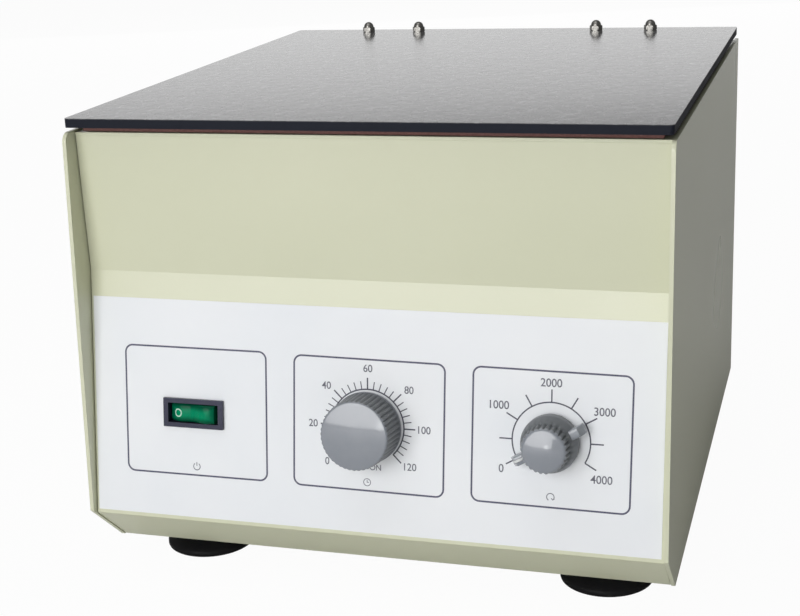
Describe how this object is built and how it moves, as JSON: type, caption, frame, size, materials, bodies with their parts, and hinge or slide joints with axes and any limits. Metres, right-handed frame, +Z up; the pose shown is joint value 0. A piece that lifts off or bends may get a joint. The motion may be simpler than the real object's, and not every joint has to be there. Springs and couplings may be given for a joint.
{
  "type": "bench centrifuge",
  "caption": "Electric bench centrifuge: folded steel case on suction feet, flat hinged lid, fixed-angle rotor, and a sloping panel with rocker switch, timer and speed knobs.",
  "frame": {"origin": "on the bench top, under the centre of the whole outline", "axes": "+Z up, -Y towards the person at the controls, +X to the right as seen from the front"},
  "size_m": [0.29, 0.3601, 0.245],
  "materials": {
    "case_paint": "cream gloss enamel",
    "label_print": "satin printed film",
    "lid_smoked": "dark smoked sheet, pebbled",
    "gasket_rubber": "dark red-brown foam rubber",
    "zinc_steel": "zinc plated",
    "bright_nickel": "bright nickel",
    "bowl_steel": "spun, brushed",
    "black_rubber": "black rubber",
    "rotor_alloy": "turned",
    "sleeve_alloy": "satin anodised",
    "turned_steel": "ground",
    "winding_copper": "lacquered copper",
    "magnet_ferrite": "ferrite",
    "black_moulding": "moulded black",
    "carbon": "pressed carbon",
    "knob_grey": "moulded grey",
    "pot_case": "plated case",
    "rocker_green": "translucent green",
    "contact_brass": "plated brass",
    "board_laminate": "solder mask"
  },
  "bodies": {
    "case": {"back_panel": "case_paint", "base_pan": "case_paint", "board_parts": "black_moulding", "board_standoffs": "zinc_steel", "bowl_grommet": "black_rubber", "bowl_screws": "zinc_steel", "brush_holders": "black_moulding", "carbon_brushes": "carbon", "chamber_bowl": "bowl_steel", "control_board": "board_laminate", "control_label": "label_print", "control_nuts": "zinc_steel", "damper_bolts": "zinc_steel", "field_magnets": "magnet_ferrite", "foot_nuts": "zinc_steel", "foot_screws": "zinc_steel", "front_panel": "case_paint", "fuse_holder": "black_moulding", "heat_sink": "rotor_alloy", "hinge_case_leaves": "zinc_steel", "hinge_pins": "zinc_steel", "inlet_pins": "contact_brass", "motor_can": "zinc_steel", "motor_cap": "rotor_alloy", "motor_plate": "zinc_steel", "motor_screws": "zinc_steel", "panel_screws": "zinc_steel", "power_inlet": "black_moulding", "rubber_dampers": "black_rubber", "shaft_bearings": "turned_steel", "side_panel_left": "case_paint", "side_panel_right": "case_paint", "speed_pot": "pot_case", "suction_feet": "black_rubber", "switch_housing": "black_moulding", "switch_terminals": "contact_brass", "timer_body": "black_moulding", "top_deck": "case_paint"},
    "lid": {"lid_plate": "lid_smoked", "lid_gasket": "gasket_rubber", "hinge_lid_leaves": "zinc_steel", "lid_bolts": "zinc_steel", "lid_dome_nuts": "bright_nickel"},
    "rotor": {"rotor_head": "rotor_alloy", "rotor_nut": "turned_steel", "motor_shaft": "turned_steel", "armature_core": "turned_steel", "armature_windings": "winding_copper", "commutator": "winding_copper", "tube_sleeve_1": "sleeve_alloy", "tube_sleeve_2": "sleeve_alloy", "tube_sleeve_3": "sleeve_alloy", "tube_sleeve_4": "sleeve_alloy", "tube_sleeve_5": "sleeve_alloy", "tube_sleeve_6": "sleeve_alloy"},
    "timer_dial": {"timer_shaft": "turned_steel", "timer_knob": "knob_grey"},
    "speed_dial": {"speed_shaft": "turned_steel", "speed_knob": "knob_grey"},
    "rocker": {"switch_rocker": "rocker_green"}
  },
  "joints": [
    {"name": "lid_hinge", "type": "hinge", "parent": "case", "child": "lid", "pos_m": [0, 0.17705, 0.2305], "axis": [-1, 0, 0], "range_deg": [0, 100]},
    {"name": "rotor_spin", "type": "hinge", "parent": "case", "child": "rotor", "pos_m": [0, 0.0035, 0.1], "axis": [0, 0, 1], "continuous": true},
    {"name": "timer_turn", "type": "hinge", "parent": "case", "child": "timer_dial", "pos_m": [0.0011, -0.15711, 0.09184], "axis": [0, 0.9877, -0.1564], "range_deg": [-58, 270]},
    {"name": "speed_turn", "type": "hinge", "parent": "case", "child": "speed_dial", "pos_m": [0.0899, -0.15725, 0.09095], "axis": [0, 0.9877, -0.1564], "range_deg": [0, 240]},
    {"name": "power_rocker", "type": "hinge", "parent": "case", "child": "rocker", "pos_m": [-0.0882, -0.15499, 0.09241], "axis": [0, 0.1564, 0.9877], "range_deg": [0, 18]}
  ]
}
